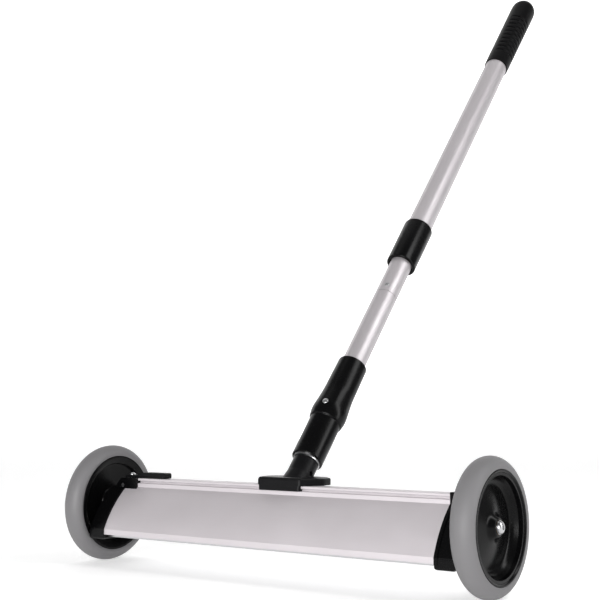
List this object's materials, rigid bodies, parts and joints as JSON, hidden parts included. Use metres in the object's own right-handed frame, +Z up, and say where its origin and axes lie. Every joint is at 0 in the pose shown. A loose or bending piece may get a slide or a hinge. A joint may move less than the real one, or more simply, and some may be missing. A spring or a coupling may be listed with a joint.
{
  "type": "magnetic nail sweeper",
  "caption": "Two-wheeled push-along magnetic sweeper with an aluminium housing, a telescoping handle and a lever that lifts the magnet bar to drop its load.",
  "frame": {"origin": "on the floor, midway between the wheels' contact points, below the axle line", "axes": "X along the axle line with the release lever at the -X end, -Y the front, +Y the back towards which the handle leans, +Z up"},
  "size_m": [0.5124, 0.6953, 0.8048],
  "materials": {
    "aluminium_body": "satin",
    "aluminium_tube": "satin",
    "gloss_black": "gloss",
    "matte_black": "matte",
    "grip_rubber": "matte",
    "grey_tyre": "matte",
    "bronze": "satin",
    "ferrite": "matte",
    "stainless": "brushed",
    "steel": "satin"
  },
  "bodies": {
    "housing": {"housing_extrusion": "aluminium_body", "bottom_plate": "stainless", "left_end_cap": "gloss_black", "right_end_cap": "gloss_black", "end_cap_screws": "steel", "left_axle": "steel", "right_axle": "steel", "axle_nuts": "steel", "axle_washers": "steel", "lever_pivot_pin": "steel", "follower_pivot_pin": "steel", "handle_bracket": "matte_black", "rear_jaw": "matte_black", "jaw_screws": "steel", "coupler_sleeve": "gloss_black", "coupler_liner": "stainless", "coupler_spring": "steel", "lower_tube": "aluminium_tube", "joint_spigot": "aluminium_tube", "joint_spring": "steel", "middle_tube": "aluminium_tube", "tube_glide": "matte_black"},
    "left_wheel": {"left_hub": "gloss_black", "left_tyre": "grey_tyre", "left_bush": "bronze"},
    "right_wheel": {"right_hub": "gloss_black", "right_tyre": "grey_tyre", "right_bush": "bronze"},
    "lever": {"release_lever": "matte_black", "lever_screw": "steel", "lever_crank": "steel", "lever_crank_pin": "steel"},
    "follower": {"follower_crank": "steel", "follower_crank_pin": "steel"},
    "magnet_bar": {"magnet_channel": "steel", "bar_magnets": "ferrite", "left_bar_lug": "steel", "right_bar_lug": "steel", "lug_rivets": "steel"},
    "handle_top": {"upper_tube": "aluminium_tube", "lock_collet": "matte_black", "grip": "grip_rubber", "grip_plug": "matte_black"},
    "collar": {"lock_collar": "gloss_black"},
    "lower_button": {"coupler_button": "steel"},
    "upper_button": {"joint_button": "steel"}
  },
  "joints": [
    {"name": "left_wheel_spin", "type": "hinge", "parent": "housing", "child": "left_wheel", "pos_m": [-0.2436, 0, 0.0635], "axis": [1, 0, 0], "continuous": true},
    {"name": "right_wheel_spin", "type": "hinge", "parent": "housing", "child": "right_wheel", "pos_m": [0.2436, 0, 0.0635], "axis": [1, 0, 0], "continuous": true},
    {"name": "lever_lift", "type": "hinge", "parent": "housing", "child": "lever", "pos_m": [-0.212, 0, 0.084], "axis": [0, -1, 0], "range_deg": [0, 75]},
    {"name": "bar_level", "type": "hinge", "parent": "lever", "child": "magnet_bar", "pos_m": [-0.20482, 0, 0.06859], "axis": [0, -1, 0], "range_deg": [-75, 0]},
    {"name": "follower_turn", "type": "hinge", "parent": "housing", "child": "follower", "pos_m": [0.192, 0, 0.066], "axis": [0, -1, 0], "range_deg": [0, 75]},
    {"name": "telescope", "type": "slide", "parent": "housing", "child": "handle_top", "axis": [0, 0.6521, 0.7581], "range_m": [-0.03, 0.26]},
    {"name": "collar_twist", "type": "hinge", "parent": "handle_top", "child": "collar", "pos_m": [0.01, 0.25437, 0.36865], "axis": [0, 0.6521, 0.7581], "range_deg": [0, 90]},
    {"name": "coupler_button_press", "type": "slide", "parent": "housing", "child": "lower_button", "axis": [-0.2079, 0.7416, -0.6378], "range_m": [0, 0.0064], "stiffness_N_per_m": 500, "springref_m": -0.01, "deforming": ["coupler_spring"]},
    {"name": "joint_button_press", "type": "slide", "parent": "housing", "child": "upper_button", "axis": [-0.3502, 0.7101, -0.6108], "range_m": [0, 0.003], "stiffness_N_per_m": 500, "springref_m": -0.01, "deforming": ["joint_spring"]}
  ],
  "couplings": [
    {"joint": "bar_level", "follows": "lever_lift", "ratio": -1},
    {"joint": "follower_turn", "follows": "lever_lift", "ratio": 1}
  ]
}
